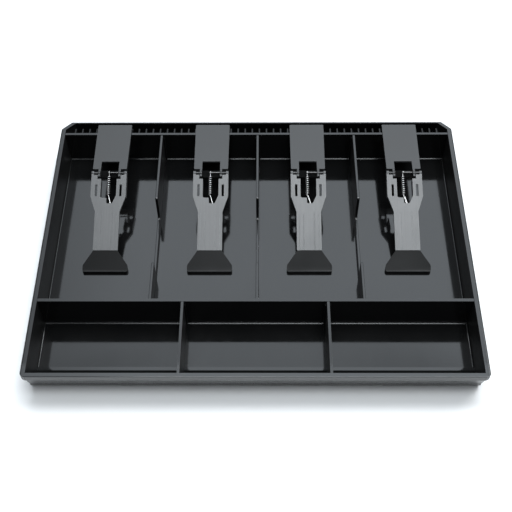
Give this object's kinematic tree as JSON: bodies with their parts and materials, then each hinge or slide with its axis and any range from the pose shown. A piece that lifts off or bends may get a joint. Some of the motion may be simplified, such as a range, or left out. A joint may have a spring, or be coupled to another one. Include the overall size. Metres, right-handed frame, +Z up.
{
  "type": "cash drawer insert",
  "caption": "Shallow moulded till tray with a scooped coin row, divided note bays and sprung hold-down clips that hinge up over the notes.",
  "frame": {"origin": "centre of the footprint on the surface the tray stands on", "axes": "+X along the width to the right, +Y to the back where the clips hang, +Z up"},
  "size_m": [0.325, 0.24, 0.0341],
  "materials": {
    "tray_plastic": "gloss",
    "divider_plastic": "gloss",
    "clip_plastic": "satin",
    "pad_rubber": "matte",
    "spring_steel": "bright",
    "pin_steel": "satin"
  },
  "bodies": {
    "tray": {"tray_body": "tray_plastic", "bill_divider_left": "divider_plastic", "bill_divider_centre": "divider_plastic", "bill_divider_right": "divider_plastic", "coin_divider_left": "divider_plastic", "coin_divider_right": "divider_plastic", "clip_base_1": "clip_plastic", "clip_base_2": "clip_plastic", "clip_base_3": "clip_plastic", "clip_base_4": "clip_plastic", "spring_pin_1": "pin_steel", "spring_pin_2": "pin_steel", "spring_pin_3": "pin_steel", "spring_pin_4": "pin_steel"},
    "clip_arm_1": {"clip_arm_1": "clip_plastic", "clip_pad_1": "pad_rubber"},
    "clip_spring_1": {"clip_spring_1": "spring_steel"},
    "clip_arm_2": {"clip_arm_2": "clip_plastic", "clip_pad_2": "pad_rubber"},
    "clip_spring_2": {"clip_spring_2": "spring_steel"},
    "clip_arm_3": {"clip_arm_3": "clip_plastic", "clip_pad_3": "pad_rubber"},
    "clip_spring_3": {"clip_spring_3": "spring_steel"},
    "clip_arm_4": {"clip_arm_4": "clip_plastic", "clip_pad_4": "pad_rubber"},
    "clip_spring_4": {"clip_spring_4": "spring_steel"}
  },
  "joints": [
    {"name": "clip_1_lift", "type": "hinge", "parent": "tray", "child": "clip_arm_1", "pos_m": [-0.1176, 0.0634, 0.0326], "axis": [-1, 0, 0], "range_deg": [0, 105], "stiffness_Nm_per_rad": 0.03, "springref_deg": -114.59},
    {"name": "clip_1_spring_swing", "type": "hinge", "parent": "tray", "child": "clip_spring_1", "pos_m": [-0.1176, 0.0654, 0.0307], "axis": [-1, 0, 0], "range_deg": [0, 97]},
    {"name": "clip_2_lift", "type": "hinge", "parent": "tray", "child": "clip_arm_2", "pos_m": [-0.0361, 0.0634, 0.0326], "axis": [-1, 0, 0], "range_deg": [0, 105], "stiffness_Nm_per_rad": 0.03, "springref_deg": -114.59},
    {"name": "clip_2_spring_swing", "type": "hinge", "parent": "tray", "child": "clip_spring_2", "pos_m": [-0.0361, 0.0654, 0.0307], "axis": [-1, 0, 0], "range_deg": [0, 97]},
    {"name": "clip_3_lift", "type": "hinge", "parent": "tray", "child": "clip_arm_3", "pos_m": [0.0418, 0.0634, 0.0326], "axis": [-1, 0, 0], "range_deg": [0, 105], "stiffness_Nm_per_rad": 0.03, "springref_deg": -114.59},
    {"name": "clip_3_spring_swing", "type": "hinge", "parent": "tray", "child": "clip_spring_3", "pos_m": [0.0418, 0.0654, 0.0307], "axis": [-1, 0, 0], "range_deg": [0, 97]},
    {"name": "clip_4_lift", "type": "hinge", "parent": "tray", "child": "clip_arm_4", "pos_m": [0.1185, 0.0634, 0.0326], "axis": [-1, 0, 0], "range_deg": [0, 105], "stiffness_Nm_per_rad": 0.03, "springref_deg": -114.59},
    {"name": "clip_4_spring_swing", "type": "hinge", "parent": "tray", "child": "clip_spring_4", "pos_m": [0.1185, 0.0654, 0.0307], "axis": [-1, 0, 0], "range_deg": [0, 97]}
  ],
  "couplings": [
    {"joint": "clip_1_spring_swing", "follows": "clip_1_lift", "ratio": 0.9225},
    {"joint": "clip_2_spring_swing", "follows": "clip_2_lift", "ratio": 0.9225},
    {"joint": "clip_3_spring_swing", "follows": "clip_3_lift", "ratio": 0.9225},
    {"joint": "clip_4_spring_swing", "follows": "clip_4_lift", "ratio": 0.9225}
  ]
}
